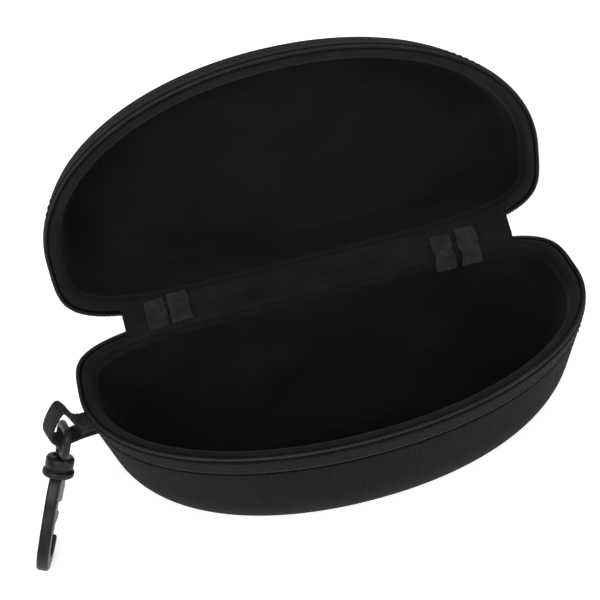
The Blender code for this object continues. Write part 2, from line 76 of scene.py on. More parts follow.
class Half:
    """A moulded half. Draft and fillet say how far its end, front and back walls lean and round inwards."""

    def __init__(self, name, height, draft, fillet, fillet_height):
        self.name = name
        self.height = height
        self.draft = draft
        self.fillet = fillet
        self.fillet_height = fillet_height

    def insets(self, depth, offset, turn=0.0):
        """How far inwards the end, front and back lie at a depth, turned by an angle round the floor's fillet."""
        lean = min(depth / self.height, 1.0)
        bend = 1.0 - math.cos(turn)
        return [draft * lean + max(reach - offset, SMALLEST_FILLET) * bend + offset
                for draft, reach in zip(self.draft, self.fillet)]

    def levels(self, offset, top, wall_steps, fillet_steps):
        """(depth, turn) pairs from the rim, down the wall and round the fillet to the flat floor."""
        shoulder = self.height - self.fillet_height
        rows = [(top + (shoulder - top) * step / wall_steps, 0.0) for step in range(wall_steps)]
        for step in range(fillet_steps + 1):
            turn = math.pi / 2 * step / fillet_steps
            rows.append((shoulder + (self.fillet_height - offset) * math.sin(turn), turn))
        return rows


BASE = Half("base", 42.0 * MM, (10.5 * MM, 8.0 * MM, 1.0 * MM), (13.0 * MM, 11.0 * MM, 6.0 * MM), 18.0 * MM)
LID = Half("lid", 27.0 * MM, (5.0 * MM, 5.0 * MM, 1.0 * MM), (14.0 * MM, 14.0 * MM, 6.0 * MM), 13.5 * MM)


def outline(angles, insets):
    """Plan points (X, distance in front of the hinge) at the outline angles."""
    end, front, back = insets
    cosine, sine = np.cos(angles), np.sin(angles)
    power = np.where(sine >= 0.0, FRONT_EXPONENT, BACK_EXPONENT)
    radius = (np.abs(cosine) ** power + np.abs(sine) ** power) ** (-1.0 / power)
    reach = np.where(sine >= 0.0, FRONT_REACH - front, WIDEST_FROM_HINGE - back)
    return (HALF_LENGTH - end) * radius * cosine, WIDEST_FROM_HINGE + reach * radius * sine


def to_world(half, x, near, depth, opening=OPEN_ANGLE):
    """World points from X, distance in front of the hinge, and depth behind the parting plane."""
    x, near, depth = np.broadcast_arrays(x, near, depth)
    if half is BASE:
        return np.stack([x, HINGE_Y - near, RIM_Z - depth], axis=-1)
    cosine, sine = math.cos(opening), math.sin(opening)
    return np.stack([x, HINGE_Y - near * cosine + depth * sine, RIM_Z + near * sine + depth * cosine], axis=-1)


def from_world(half, across, up):
    """Distance in front of the hinge and depth behind the parting plane, from world Y and Z."""
    if half is BASE:
        return HINGE_Y - across, RIM_Z - up
    cosine, sine = math.cos(OPEN_ANGLE), math.sin(OPEN_ANGLE)
    return ((HINGE_Y - across) * cosine + (up - RIM_Z) * sine,
            (across - HINGE_Y) * sine + (up - RIM_Z) * cosine)


def ring(half, angles, depth, offset, turn=0.0):
    x, near = outline(angles, half.insets(depth, offset, turn))
    return to_world(half, x, near, depth)


def even_angles(start, end, count, closed):
    """Outline angles spaced evenly along the rim, and their distances along it."""
    dense = np.linspace(start, end, 4000)
    x, near = outline(dense, (0.0, 0.0, 0.0))
    length = np.concatenate([[0.0], np.cumsum(np.hypot(np.diff(x), np.diff(near)))])
    stations = np.linspace(0.0, length[-1], count + 1)
    if closed:
        stations = stations[:-1]
    return np.interp(stations, length, dense), stations


# ---- materials ------------------------------------------------------------------------------
PER_METRE = (1.0, 1.0, 1.0)
PER_MILLIMETRE = (1000.0, 1000.0, 1000.0)


class Nodes:
    """Short-hand for building a node material."""

    def __init__(self, name, colour, roughness, **sockets):
        self.material = bpy.data.materials.new(name)
        self.material.use_nodes = True
        self.tree = self.material.node_tree
        self.shader = self.tree.nodes["Principled BSDF"]
        self.shader.inputs["Base Color"].default_value = (*colour, 1.0)
        self.shader.inputs["Roughness"].default_value = roughness
        for socket, value in sockets.items():
            self.shader.inputs[socket.replace("_", " ")].default_value = value
        self.bump = None

    def add(self, kind, **values):
        node = self.tree.nodes.new(kind)
        for socket, value in values.items():
            node.inputs[socket.replace("_", " ")].default_value = value
        return node

    def link(self, source, target):
        self.tree.links.new(source, target)

    def coordinates(self, kind, scale):
        source = self.add("ShaderNodeTexCoord")
        mapping = self.add("ShaderNodeMapping", Scale=scale)
        self.link(source.outputs[kind], mapping.inputs["Vector"])
        return mapping.outputs["Vector"]

    def noise(self, vector, scale, detail, rough=0.6):
        node = self.add("ShaderNodeTexNoise", Scale=scale, Detail=detail, Roughness=rough)
        self.link(vector, node.inputs["Vector"])
        return node.outputs["Fac"]

    def wave(self, vector, scale, direction, distortion, detail_scale=1.0):
        node = self.add("ShaderNodeTexWave", Scale=scale, Distortion=distortion, Detail_Scale=detail_scale)
        node.bands_direction = direction
        self.link(vector, node.inputs["Vector"])
        return node.outputs["Fac"]

    def ramp(self, value, low, high, start, end):
        node = self.add("ShaderNodeValToRGB")
        for stop, place, colour in zip(node.color_ramp.elements, (start, end), (low, high)):
            stop.position = place
            stop.color = (*colour, 1.0)
        self.link(value, node.inputs["Fac"])
        return node.outputs["Color"]

    def darken(self, first, second, factor):
        """The first colour multiplied by the second, by a share."""
        node = self.add("ShaderNodeMix")
        node.data_type = "RGBA"
        node.blend_type = "MULTIPLY"
        node.inputs["Factor"].default_value = factor
        self.link(first, node.inputs["A"])
        self.link(second, node.inputs["B"])
        return node.outputs["Result"]

    def product(self, first, second):
        node = self.add("ShaderNodeMath")
        node.operation = "MULTIPLY"
        self.link(first, node.inputs[0])
        self.link(second, node.inputs[1])
        return node.outputs["Value"]

    def colour(self, output):
        self.link(output, self.shader.inputs["Base Color"])

    def roughness(self, value, low, high):
        node = self.add("ShaderNodeMapRange", To_Min=low, To_Max=high)
        self.link(value, node.inputs["Value"])
        self.link(node.outputs["Result"], self.shader.inputs["Roughness"])

    def relief(self, height, distance, strength):
        """Adds a layer of bump on top of the ones before it."""
        node = self.add("ShaderNodeBump", Distance=distance, Strength=strength)
        self.link(height, node.inputs["Height"])
        if self.bump is not None:
            self.link(self.bump, node.inputs["Normal"])
        self.bump = node.outputs["Normal"]
        self.link(self.bump, self.shader.inputs["Normal"])


def grey(value, warm=0.0):
    return (value * (1.0 + warm), value, value * (1.0 - warm))


def cover_cloth():
    """Ribbed polyester: upright ribs, a finer cross thread and broad patches of wear."""
    m = Nodes("cover_cloth_look", grey(0.02), 0.85, Sheen_Weight=0.02, Specular_IOR_Level=0.07)
    uv = m.coordinates("UV", PER_MILLIMETRE)
    ribs = m.wave(uv, 0.42, "X", 1.1, detail_scale=0.5)
    cross = m.wave(uv, 0.62, "Y", 0.8, detail_scale=0.7)
    streaks = m.noise(m.coordinates("UV", (900.0, 70.0, 1.0)), 1.0, 4.0)
    patches = m.noise(m.coordinates("Object", PER_METRE), 38.0, 3.0)
    base = m.ramp(m.product(ribs, cross), grey(0.003), grey(0.014, 0.02), 0.05, 0.95)
    fibre = m.ramp(streaks, grey(0.3), grey(1.0), 0.38, 0.62)
    tone = m.ramp(patches, grey(0.62), grey(1.0), 0.35, 0.7)
    m.colour(m.darken(m.darken(base, fibre, 0.75), tone, 0.8))
    m.roughness(streaks, 0.68, 0.92)
    m.relief(ribs, 0.22 * MM, 0.9)
    m.relief(cross, 0.1 * MM, 0.4)
    m.relief(streaks, 0.5 * MM, 0.7)
    return m.material


def lining_cloth():
    """Short brushed pile with soft lighter and darker strokes."""
    m = Nodes("lining_cloth_look", grey(0.012), 0.95, Sheen_Weight=0.02, Specular_IOR_Level=0.08)
    place = m.coordinates("Object", PER_METRE)
    strokes = m.noise(m.coordinates("Object", (30.0, 70.0, 45.0)), 1.0, 4.0, 0.55)
    pile = m.noise(place, 2600.0, 2.0, 0.7)
    specks = m.noise(place, 700.0, 4.0, 0.8)
    base = m.ramp(strokes, grey(0.0045), grey(0.0095), 0.3, 0.7)
    m.colour(m.darken(base, m.ramp(pile, grey(0.45), grey(1.0), 0.3, 0.7), 0.8))
    m.relief(pile, 0.12 * MM, 0.8)
    m.relief(specks, 0.1 * MM, 0.5)
    return m.material


def binding_cloth():
    """The lining where it is stretched over the rim: the same pile, painted a little lighter than the lining as a
    painted highlight for light falling on the rim's top.
    """
    m = Nodes("binding_cloth_look", grey(0.02), 0.85, Sheen_Weight=0.04, Specular_IOR_Level=0.12)
    place = m.coordinates("Object", PER_METRE)
    rub = m.noise(place, 90.0, 4.0)
    pile = m.noise(place, 2400.0, 2.0, 0.7)
    # painted highlight: the ramp's ends sit a little above the lining's to stand in for light on the rim's top;
    # the noise between them is random tone
    base = m.ramp(rub, grey(0.005), grey(0.011), 0.3, 0.7)
    m.colour(m.darken(base, m.ramp(pile, grey(0.45), grey(1.0), 0.3, 0.7), 0.75))
    m.relief(pile, 0.12 * MM, 0.8)
    return m.material


def tape_cloth():
    """Flat knitted zip tape: fine herringbone and long shallow cords."""
    m = Nodes("zip_tape_look", grey(0.024), 0.8, Sheen_Weight=0.02, Specular_IOR_Level=0.08)
    uv = m.coordinates("UV", PER_MILLIMETRE)
    slant = m.wave(uv, 0.62, "DIAGONAL", 0.3)
    cords = m.wave(uv, 0.42, "Y", 0.2)
    fluff = m.noise(m.coordinates("Object", PER_METRE), 320.0, 4.0)
    base = m.ramp(m.product(slant, cords), grey(0.0035), grey(0.012), 0.0, 0.9)
    m.colour(m.darken(base, m.ramp(fluff, grey(0.6), grey(1.0), 0.3, 0.7), 0.7))
    m.relief(slant, 0.12 * MM, 0.7)
    m.relief(cords, 0.12 * MM, 0.6)
    return m.material


def raw_tape():
    """The cut ends of the tape: greyer, dusty and loosely woven."""
    m = Nodes("raw_tape_look", grey(0.07), 0.9, Sheen_Weight=0.06, Specular_IOR_Level=0.1)
    uv = m.coordinates("UV", PER_MILLIMETRE)
    warp = m.wave(uv, 0.55, "X", 0.5)
    weft = m.wave(uv, 0.75, "Y", 0.6)
    dust = m.noise(m.coordinates("Object", PER_METRE), 260.0, 4.0, 0.65)
    base = m.ramp(m.product(warp, weft), grey(0.016, 0.03), grey(0.056, 0.04), 0.0, 0.9)
    m.colour(m.darken(base, m.ramp(dust, grey(0.4), grey(1.0), 0.38, 0.66), 0.85))
    m.relief(warp, 0.16 * MM, 0.8)
    m.relief(weft, 0.16 * MM, 0.8)
    return m.material


def webbing_cloth():
    """Narrow webbing: ribs across the strap, with lengthwise rows and rubbed edges."""
    m = Nodes("webbing_look", grey(0.035), 0.75, Sheen_Weight=0.05, Specular_IOR_Level=0.15)
    uv = m.coordinates("UV", PER_MILLIMETRE)
    ribs = m.wave(uv, 0.36, "X", 0.4)
    rows = m.wave(uv, 0.3, "Y", 0.3)
    fluff = m.noise(m.coordinates("Object", PER_METRE), 400.0, 3.0)
    base = m.ramp(m.product(ribs, rows), grey(0.006), grey(0.03, 0.05), 0.0, 0.85)
    m.colour(m.darken(base, m.ramp(fluff, grey(0.5), grey(1.0), 0.3, 0.7), 0.7))
    m.relief(ribs, 0.3 * MM, 0.8)
    m.relief(rows, 0.2 * MM, 0.6)
    return m.material


def thread():
    """Twisted sewing thread."""
    m = Nodes("thread_look", grey(0.045), 0.55, Sheen_Weight=0.04, Specular_IOR_Level=0.2)
    twist = m.wave(m.coordinates("Object", PER_METRE), 700.0, "DIAGONAL", 1.0)
    m.colour(m.ramp(twist, grey(0.008), grey(0.022), 0.1, 0.9))
    m.relief(twist, 0.1 * MM, 0.6)
    return m.material


def coil_plastic():
    """The zip's nylon spiral, rubbed smoother in places."""
    m = Nodes("zip_coil_look", grey(0.05), 0.45, Specular_IOR_Level=0.2)
    rub = m.noise(m.coordinates("Object", PER_METRE), 140.0, 3.0)
    m.colour(m.ramp(rub, grey(0.008), grey(0.018), 0.3, 0.7))
    m.roughness(rub, 0.38, 0.55)
    return m.material


def foam():
    """Moulded EVA foam with fine closed cells."""
    m = Nodes("eva_foam_look", grey(0.02), 0.8, Specular_IOR_Level=0.15)
    cells = m.noise(m.coordinates("Object", PER_METRE), 1800.0, 2.0)
    m.colour(m.ramp(cells, grey(0.006), grey(0.012), 0.3, 0.7))
    m.relief(cells, 0.08 * MM, 0.6)
    return m.material


def hook_plastic():
    """Glossy injection-moulded nylon with a faint orange-peel skin and a few rubbed spots."""
    m = Nodes("hook_plastic_look", grey(0.012), 0.4, Specular_IOR_Level=0.16)
    place = m.coordinates("Object", PER_METRE)
    peel = m.noise(place, 420.0, 2.0, 0.5)
    rub = m.noise(place, 120.0, 4.0)
    m.colour(m.ramp(rub, grey(0.008), grey(0.024), 0.35, 0.75))
    m.roughness(rub, 0.3, 0.46)
    m.relief(peel, 0.06 * MM, 0.35)
    return m.material


def zip_metal():
    """Black lacquered zinc, worn to a warmer grey on its high spots."""
    m = Nodes("zip_metal_look", grey(0.03), 0.35, Metallic=0.85)
    place = m.coordinates("Object", PER_METRE)
    chips = m.noise(place, 260.0, 5.0, 0.7)
    grain = m.noise(place, 1500.0, 2.0)
    m.colour(m.ramp(chips, grey(0.02), (0.16, 0.15, 0.14), 0.58, 0.72))
    m.roughness(grain, 0.26, 0.48)
    m.relief(grain, 0.04 * MM, 0.4)
    return m.material


def steel():
    """Turned steel with fine lathe marks."""
    m = Nodes("pin_steel_look", (0.55, 0.55, 0.57), 0.3, Metallic=1.0)
    lathe = m.wave(m.coordinates("Object", PER_METRE), 900.0, "X", 0.5)
    m.roughness(lathe, 0.22, 0.4)
    m.relief(lathe, 0.02 * MM, 0.4)
    return m.material


LOOK = {"cover_cloth": cover_cloth(), "lining_cloth": lining_cloth(), "binding": binding_cloth(),
        "zip_tape_cloth": tape_cloth(), "raw_tape_cloth": raw_tape(), "webbing_cloth": webbing_cloth(),
        "zip_coil_plastic": coil_plastic(), "eva_foam": foam(), "hook_plastic": hook_plastic(),
        "zip_metal": zip_metal(), "spring_steel": steel(), "thread": thread()}


# ---- object and mesh helpers ----------------------------------------------------------------
def link_object(name, data):
    thing = bpy.data.objects.new(name, data)
    bpy.context.scene.collection.objects.link(thing)
    return thing


def add_piece(name, mesh, look):
    mesh.materials.append(LOOK[look])
    piece = link_object(name, mesh)
    return piece


def finish_cad_part(node, look, edge_radius, segments=3):
    """Gives a CAD part that stays in view its material and rounded edges."""
    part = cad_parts[node]
    part.data.materials.clear()
    part.data.materials.append(LOOK[look])
    edge = part.modifiers.new("rounded_edges", "BEVEL")
    edge.width = edge_radius
    edge.segments = segments
    edge.limit_method = "ANGLE"


def final_mesh(holder):
    """The holder's mesh with its curve or modifiers worked out; the holder itself is removed."""
    bpy.context.view_layer.update()
    mesh = bpy.data.meshes.new_from_object(holder.evaluated_get(bpy.context.evaluated_depsgraph_get()))
    bpy.data.objects.remove(holder, do_unlink=True)
    return mesh


def edit_mesh(mesh, *operations):
    work = bmesh.new()
    work.from_mesh(mesh)
    for operation in operations:
        operation(work)
    work.to_mesh(mesh)
    work.free()


def face_outwards(work):
    bmesh.ops.recalc_face_normals(work, faces=work.faces)


def fill_holes(work):
    bmesh.ops.holes_fill(work, edges=[edge for edge in work.edges if edge.is_boundary], sides=0)


def read_uvs(mesh):
    uvs = np.zeros(len(mesh.loops) * 2, np.float32)
    mesh.uv_layers[0].data.foreach_get("uv", uvs)
    return uvs.reshape(-1, 2)


def write_uvs(mesh, uvs):
    mesh.uv_layers[0].data.foreach_set("uv", uvs.ravel())


def swap_uvs(mesh):
    write_uvs(mesh, read_uvs(mesh)[:, ::-1])


def grid_mesh(name, rows, closed_row=True, closed_column=False, across=None, along=None, capped=False):
    """A smooth mesh from rows of points, with UVs in metres; caps close the first and last rows."""
    rows = [np.asarray(row, float) for row in rows]
    count = len(rows[0])
    if across is None:
        step = np.linalg.norm(np.diff(rows[0], axis=0), axis=1)
        across = np.concatenate([[0.0], np.cumsum(step)])
    if along is None:
        along = [0.0]
        for first, second in zip(rows, rows[1:]):
            along.append(along[-1] + float(np.mean(np.linalg.norm(second - first, axis=1))))
    loop_step = float(np.linalg.norm(rows[0][0] - rows[0][-1]))
    faces, uvs = [], []
    for r in range(len(rows) if closed_column else len(rows) - 1):
        after = (r + 1) % len(rows)
        v_first, v_after = along[r], along[r] + (along[1] - along[0]) if after == 0 else along[after]
        for c in range(count if closed_row else count - 1):
            nxt = (c + 1) % count
            u_first, u_next = across[c], across[c] + loop_step if nxt == 0 else across[nxt]
            faces.append((r * count + c, r * count + nxt, after * count + nxt, after * count + c))
            uvs += [(u_first, v_first), (u_next, v_first), (u_next, v_after), (u_first, v_after)]
    verts = np.concatenate(rows)
    for r in (0, len(rows) - 1) if capped else ():
        centre = len(verts)
        verts = np.concatenate([verts, [rows[r].mean(axis=0)]])
        for c in range(count):
            faces.append((r * count + c, r * count + (c + 1) % count, centre))
            uvs += [(across[c], along[r]), (across[c] + 0.1 * MM, along[r]), (across[c], along[r] + 1.0 * MM)]
    mesh = bpy.data.meshes.new(name)
    mesh.from_pydata([tuple(v) for v in verts], [], faces)
    mesh.uv_layers.new(name="UVMap")
    write_uvs(mesh, np.array(uvs, np.float32))
    edit_mesh(mesh, face_outwards)
    mesh.shade_smooth()
    return mesh


def tube_mesh(name, path, radius, sides=8, closed=False):
    """A round wire along a path."""
    path = np.asarray(path, float)
    if closed:
        tangents = np.roll(path, -1, axis=0) - np.roll(path, 1, axis=0)
    else:
        tangents = np.gradient(path, axis=0)
    tangents /= np.linalg.norm(tangents, axis=1)[:, None]
    normal = np.cross(tangents[0], [0.31, 0.17, 0.93])
    spin = np.arange(sides) * math.tau / sides
    rows = []
    for point, tangent in zip(path, tangents):
        normal = normal - tangent * normal.dot(tangent)
        normal /= np.linalg.norm(normal)
        side = np.cross(tangent, normal)
        rows.append(point + radius * (np.cos(spin)[:, None] * normal + np.sin(spin)[:, None] * side))
    return grid_mesh(name, rows, closed_column=closed, capped=not closed)


def join_meshes(name, meshes):
    """One mesh from many, keeping the shared UV layer."""
    work = bmesh.new()
    for mesh in meshes:
        work.from_mesh(mesh)
        bpy.data.meshes.remove(mesh)
    result = bpy.data.meshes.new(name)
    work.to_mesh(result)
    work.free()
    return result


def strip_mesh(name, centre_line, side_vector, width, thickness, crown=0.0, widen=None):
    """A flat strip of cloth with rounded edges, swept along a line; widen scales its width at each point."""
    line = np.asarray(centre_line, float)
    side = np.broadcast_to(np.asarray(side_vector, float), line.shape).copy()
    tangent = np.gradient(line, axis=0)
    tangent /= np.linalg.norm(tangent, axis=1)[:, None]
    side -= tangent * np.sum(side * tangent, axis=1)[:, None]
    side /= np.linalg.norm(side, axis=1)[:, None]
    up = np.cross(side, tangent)
    half_w, half_t = width / 2, thickness / 2
    section = [(-half_w, 0.0), (-half_w + half_t * 0.35, half_t * 0.8), (-half_w * 0.82, half_t)]
    section += [(half_w * s, half_t * (1.0 + crown * (1.0 - s * s))) for s in (-0.5, -0.2, 0.2, 0.5)]
    section += [(half_w * 0.82, half_t), (half_w - half_t * 0.35, half_t * 0.8), (half_w, 0.0)]
    section += [(a, -b) for a, b in reversed(section[1:-1])]
    if widen is None:
        widen = np.ones(len(line))
    rows = [np.array([line[index] + side[index] * a * widen[index] + up[index] * b for a, b in section])
            for index in range(len(line))]
    return grid_mesh(name, rows, capped=True)


def smooth_line(points, count):
    """A Catmull-Rom line through the points, resampled evenly."""
    steps_between = 24
    pts = np.asarray(points, float)
    pts = np.concatenate([[2 * pts[0] - pts[1]], pts, [2 * pts[-1] - pts[-2]]])
    fine = []
    for a, b, c, d in zip(pts, pts[1:], pts[2:], pts[3:]):
        for t in np.linspace(0.0, 1.0, steps_between, endpoint=False):
            fine.append(0.5 * (2 * b + (c - a) * t + (2 * a - 5 * b + 4 * c - d) * t * t
                               + (3 * b - a - 3 * c + d) * t ** 3))
    fine.append(pts[-2])
    fine = np.array(fine)
    length = np.concatenate([[0.0], np.cumsum(np.linalg.norm(np.diff(fine, axis=0), axis=1))])
    stations = np.linspace(0.0, length[-1], count)
    return np.stack([np.interp(stations, length, fine[:, axis]) for axis in range(fine.shape[1])], axis=1)


# ---- moulded layers and the bands round the rim ---------------------------------------------
RING_ANGLES, RING_STATIONS = even_angles(0.0, math.tau, 256, closed=True)
FLOOR_STEPS, FLOOR_SPACING = 6, 1.1
RIM_STEPS = 6


def surface_rows(half, offset, top, wall_steps, fillet_steps):
    """Rows of points from the rim of a layer to the middle of its flat bottom."""
    rows = [ring(half, RING_ANGLES, depth, offset, turn)
            for depth, turn in half.levels(offset, top, wall_steps, fillet_steps)]
    last = rows[-1]
    centre = last.mean(axis=0)
    for step in range(1, FLOOR_STEPS):
        rows.append(centre + (last - centre) * (1.0 - step / FLOOR_STEPS) ** FLOOR_SPACING)
    return rows


def straighten_floor_uvs(mesh, half, floor_depth):
    """Lays the weave straight across the flat bottom, where the rim's UVs would all run together."""
    points = np.zeros(len(mesh.vertices) * 3, np.float32)
    mesh.vertices.foreach_get("co", points)
    x, across, up = points.reshape(-1, 3).T
    near, depth = from_world(half, across, up)
    corners = np.zeros(len(mesh.loops), np.int32)
    mesh.loops.foreach_get("vertex_index", corners)
    starts = np.zeros(len(mesh.polygons), np.int32)
    mesh.polygons.foreach_get("loop_start", starts)
    flat_face = np.minimum.reduceat(depth[corners] > floor_depth, starts)
    flat = np.repeat(flat_face, np.diff(np.append(starts, len(corners))))
    uvs = read_uvs(mesh)
    uvs[flat] = np.stack([x, near], axis=1)[corners[flat]]
    write_uvs(mesh, uvs)


def layer(name, half, outer, inner, top, crown, look, replaced, wall_steps, fillet_steps):
    """A closed, smooth layer of one half, with a rounded rim."""
    outside = surface_rows(half, outer, top + crown, wall_steps, fillet_steps)
    inside = surface_rows(half, inner, top + crown, wall_steps, fillet_steps)
    rim = []
    for step in range(1, RIM_STEPS):
        turn = math.pi * step / RIM_STEPS
        offset = (outer + inner) / 2 - (inner - outer) / 2 * math.cos(turn)
        rim.append(ring(half, RING_ANGLES, top + crown * (1.0 - math.sin(turn)), offset))
    mesh = grid_mesh(name, list(reversed(outside)) + rim + inside, across=RING_STATIONS, capped=True)
    straighten_floor_uvs(mesh, half, half.height - inner - 0.05 * MM)
    piece = add_piece(name, mesh, look)
    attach(piece, half.name)
    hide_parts(replaced)


def band(name, half, angles, stations, profile, look, replaced, closed=False):
    """A closed band of cloth: profile is a loop of (depth, offset) points in millimetres, swept along the rim."""
    profile = [(depth * MM, offset * MM) for depth, offset in profile]
    lengths = [0.0]
    for first, second in zip(profile, profile[1:]):
        lengths.append(lengths[-1] + math.hypot(second[0] - first[0], second[1] - first[1]))
    columns = np.stack([ring(half, angles, depth, offset) for depth, offset in profile], axis=1)
    mesh = grid_mesh(name, columns, closed_column=closed, across=lengths, along=stations, capped=not closed)
    swap_uvs(mesh)
    piece = add_piece(name, mesh, look)
    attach(piece, half.name)
    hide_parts(replaced)


def rolled_rim(half):
    """The lining rolled over the foam's edge: a soft lip that runs on into the inner wall."""
    profile = [(2.2, 2.05), (1.6, 2.05), (1.15, 2.3), (0.95, 2.9), (0.92, 3.4), (1.02, 3.9), (1.25, 4.4),
               (1.65, 4.8), (2.2, 5.08), (2.9, 5.2), (3.8, 5.24), (5.0, 5.22), (6.4, 5.14), (6.4, 4.9),
               (4.0, 4.6), (2.35, 4.2)]
    band(half.name + "_rolled_rim", half, RING_ANGLES, RING_STATIONS, profile,
         "binding", half.name + "_rim_binding", closed=True)


def zip_tape(half):
    """The flat knitted tape round the rim, from one zip end to the other."""
    angles, stations = even_angles(-ZIP_END, math.pi + ZIP_END, 220, closed=False)
    profile = [(2.0, 0.75), (2.05, 0.35), (2.35, 0.12), (2.9, 0.02), (4.4, 0.0), (6.0, 0.0), (7.3, 0.02),
               (7.85, 0.1), (8.05, 0.3), (8.05, 0.8), (6.0, 0.85), (3.0, 0.85)]
    band(half.name + "_zip_tape_cloth", half, angles, stations, profile,
         "zip_tape_cloth", half.name + "_zip_tape")


def zip_coil(half):
    """The nylon spiral itself: one long flattened helix sewn to the tape's edge, round a core cord."""
    pitch, points_per_turn = 0.9 * MM, 10
    wire_radius, core_radius = 0.21 * MM, 0.42 * MM
    room_at_end = math.radians(1.7)
    dense, stations = even_angles(-ZIP_END, math.pi + ZIP_END - room_at_end, 2000, closed=False)
    turns = int(stations[-1] / pitch)
    along = np.linspace(0.0, stations[-1], turns * points_per_turn + 1)
    angles = np.interp(along, stations, dense)
    spin = math.tau * np.arange(len(along)) / points_per_turn
    depths = COIL_DEPTH + 0.55 * MM * np.sin(spin)
    offsets = COIL_INSET + (0.1 + 0.5 * np.cos(spin)) * MM
    far = 2.0 * MM
    x_out, near_out = outline(angles, half.insets(COIL_DEPTH, 0.0))
    x_in, near_in = outline(angles, half.insets(COIL_DEPTH, far))
    share = offsets / far
    path = to_world(half, x_out + (x_in - x_out) * share, near_out + (near_in - near_out) * share, depths)
    wire = tube_mesh(half.name + "_spiral", path, wire_radius, sides=5)
    core_angles = np.interp(np.linspace(0.0, stations[-1], 240), stations, dense)
    core = tube_mesh(half.name + "_core", ring(half, core_angles, COIL_DEPTH, COIL_INSET), core_radius)
    piece = add_piece(half.name + "_zip_spiral", join_meshes(half.name + "_zip_spiral", [wire, core]),
                      "zip_coil_plastic")
    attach(piece, half.name)
    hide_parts(half.name + "_zip_coil")


def tape_stitches(half):
    """Short thread stitches along the tape's far edge, which dive into the cloth at both ends."""
    pitch, length, depth, offset = 2.6 * MM, 2.0 * MM, 7.0 * MM, -0.12 * MM
    dense, stations = even_angles(-ZIP_END, math.pi + ZIP_END, 2000, closed=False)
    dips = offset + 0.22 * MM * (1.0 - np.sin(np.linspace(0.0, math.pi, 6)))
    meshes = []
    for index in range(int(stations[-1] / pitch)):
        first = index * pitch
        angles = np.interp(np.linspace(first, first + length, len(dips)), stations, dense)
        points = [ring(half, angle, depth, dip) for angle, dip in zip(angles, dips)]
        meshes.append(tube_mesh("stitch", points, 0.16 * MM, sides=5))
    name = half.name + "_tape_stitches"
    piece = add_piece(name, join_meshes(name, meshes), "thread")
    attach(piece, half.name)


def moulded_half(half):
    name = half.name
    layer(name + "_cover_cloth", half, 0.0, COVER_THICK, COVER_TOP, 0.35 * MM, "cover_cloth",
          name + "_cover", 10, 14)
    layer(name + "_foam", half, SHELL_OUTER, SHELL_INNER, WALL_TOP, 0.3 * MM, "eva_foam",
          name + "_shell", 5, 8)
    layer(name + "_lining_cloth", half, LINING_OUTER, LINING_INNER, WALL_TOP, 0.3 * MM, "lining_cloth",
          name + "_lining", 10, 14)
    rolled_rim(half)
    zip_tape(half)
    zip_coil(half)
    tape_stitches(half)


# ---- hinge fabric and turned-in tape ends ---------------------------------------------------
def hinge_wall(half, x, depth, offset):
    """Distance in front of the hinge of the back wall at each X."""
    end, _, back = half.insets(depth, offset)
    share = (1.0 - (np.abs(x) / (HALF_LENGTH - end)) ** BACK_EXPONENT) ** (1.0 / BACK_EXPONENT)
    return WIDEST_FROM_HINGE - (WIDEST_FROM_HINGE - back) * share


def across_hinge(depths, x, offset):
    """Rows of points over the hinge, from the base wall, round the crease and onto the lid's wall."""
    rows = [to_world(BASE, x, hinge_wall(BASE, x, depth, offset), depth) for depth in reversed(depths)]
    crease = hinge_wall(BASE, x, 0.0, offset)
    rows += [to_world(LID, x, crease, 0.0, OPEN_ANGLE * share) for share in (0.25, 0.5, 0.75)]
    rows += [to_world(LID, x, hinge_wall(LID, x, depth, offset), depth) for depth in depths]
    return rows


def hinge_cloth(name, rows, x, look):
    """A thin closed sheet over the hinge, from rows of points that run round its two faces."""
    mesh = grid_mesh(name, rows, closed_row=False, closed_column=True, across=x - x[0])
    edit_mesh(mesh, fill_holes, face_outwards)
    return add_piece(name, mesh, look)


def hinge_fabric():
    """One strip of zip tape cloth joins the halves; it bends along the hinge line."""
    reach = 61.0 * MM
    x = np.linspace(-reach, reach, 90)
    depths = [0.25 * MM, 0.8 * MM, 1.6 * MM, 2.6 * MM, 4.2 * MM, 6.0 * MM, 7.4 * MM, 8.0 * MM]
    rows = across_hinge(depths, x, 0.02 * MM) + list(reversed(across_hinge(depths, x, 0.8 * MM)))
    piece = hinge_cloth("hinge_fabric", rows, x, "zip_tape_cloth")
    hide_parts("base_hinge_tape", "lid_hinge_tape")
    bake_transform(piece)


def hinge_gusset():
    """The thin cloth inside the hinge, which runs on past the zip's ends and closes the corners."""
    x = np.linspace(-64.5 * MM, 69.5 * MM, 110)
    wall = hinge_wall(BASE, x, 0.0, 0.0)
    on_rims = ((3.6, 0.72), (3.1, 0.64), (2.6, 0.54), (2.15, 0.36))
    round_crease = ((0.18, 1.9), (0.36, 1.1), (0.5, 0.85), (0.64, 1.1), (0.82, 1.9))
    faces = []
    for thick in (0.0, 0.25 * MM):
        rows = [to_world(BASE, x, wall + reach * MM, depth * MM + thick) for reach, depth in on_rims]
        rows += [to_world(LID, x, wall + reach * MM - thick, 0.0, OPEN_ANGLE * share)
                 for share, reach in round_crease]
        rows += [to_world(LID, x, wall + reach * MM, depth * MM + thick) for reach, depth in reversed(on_rims)]
        faces.append(rows)
    inner, outer = faces
    piece = hinge_cloth("hinge_gusset", inner + list(reversed(outer)), x, "binding")
    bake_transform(piece)


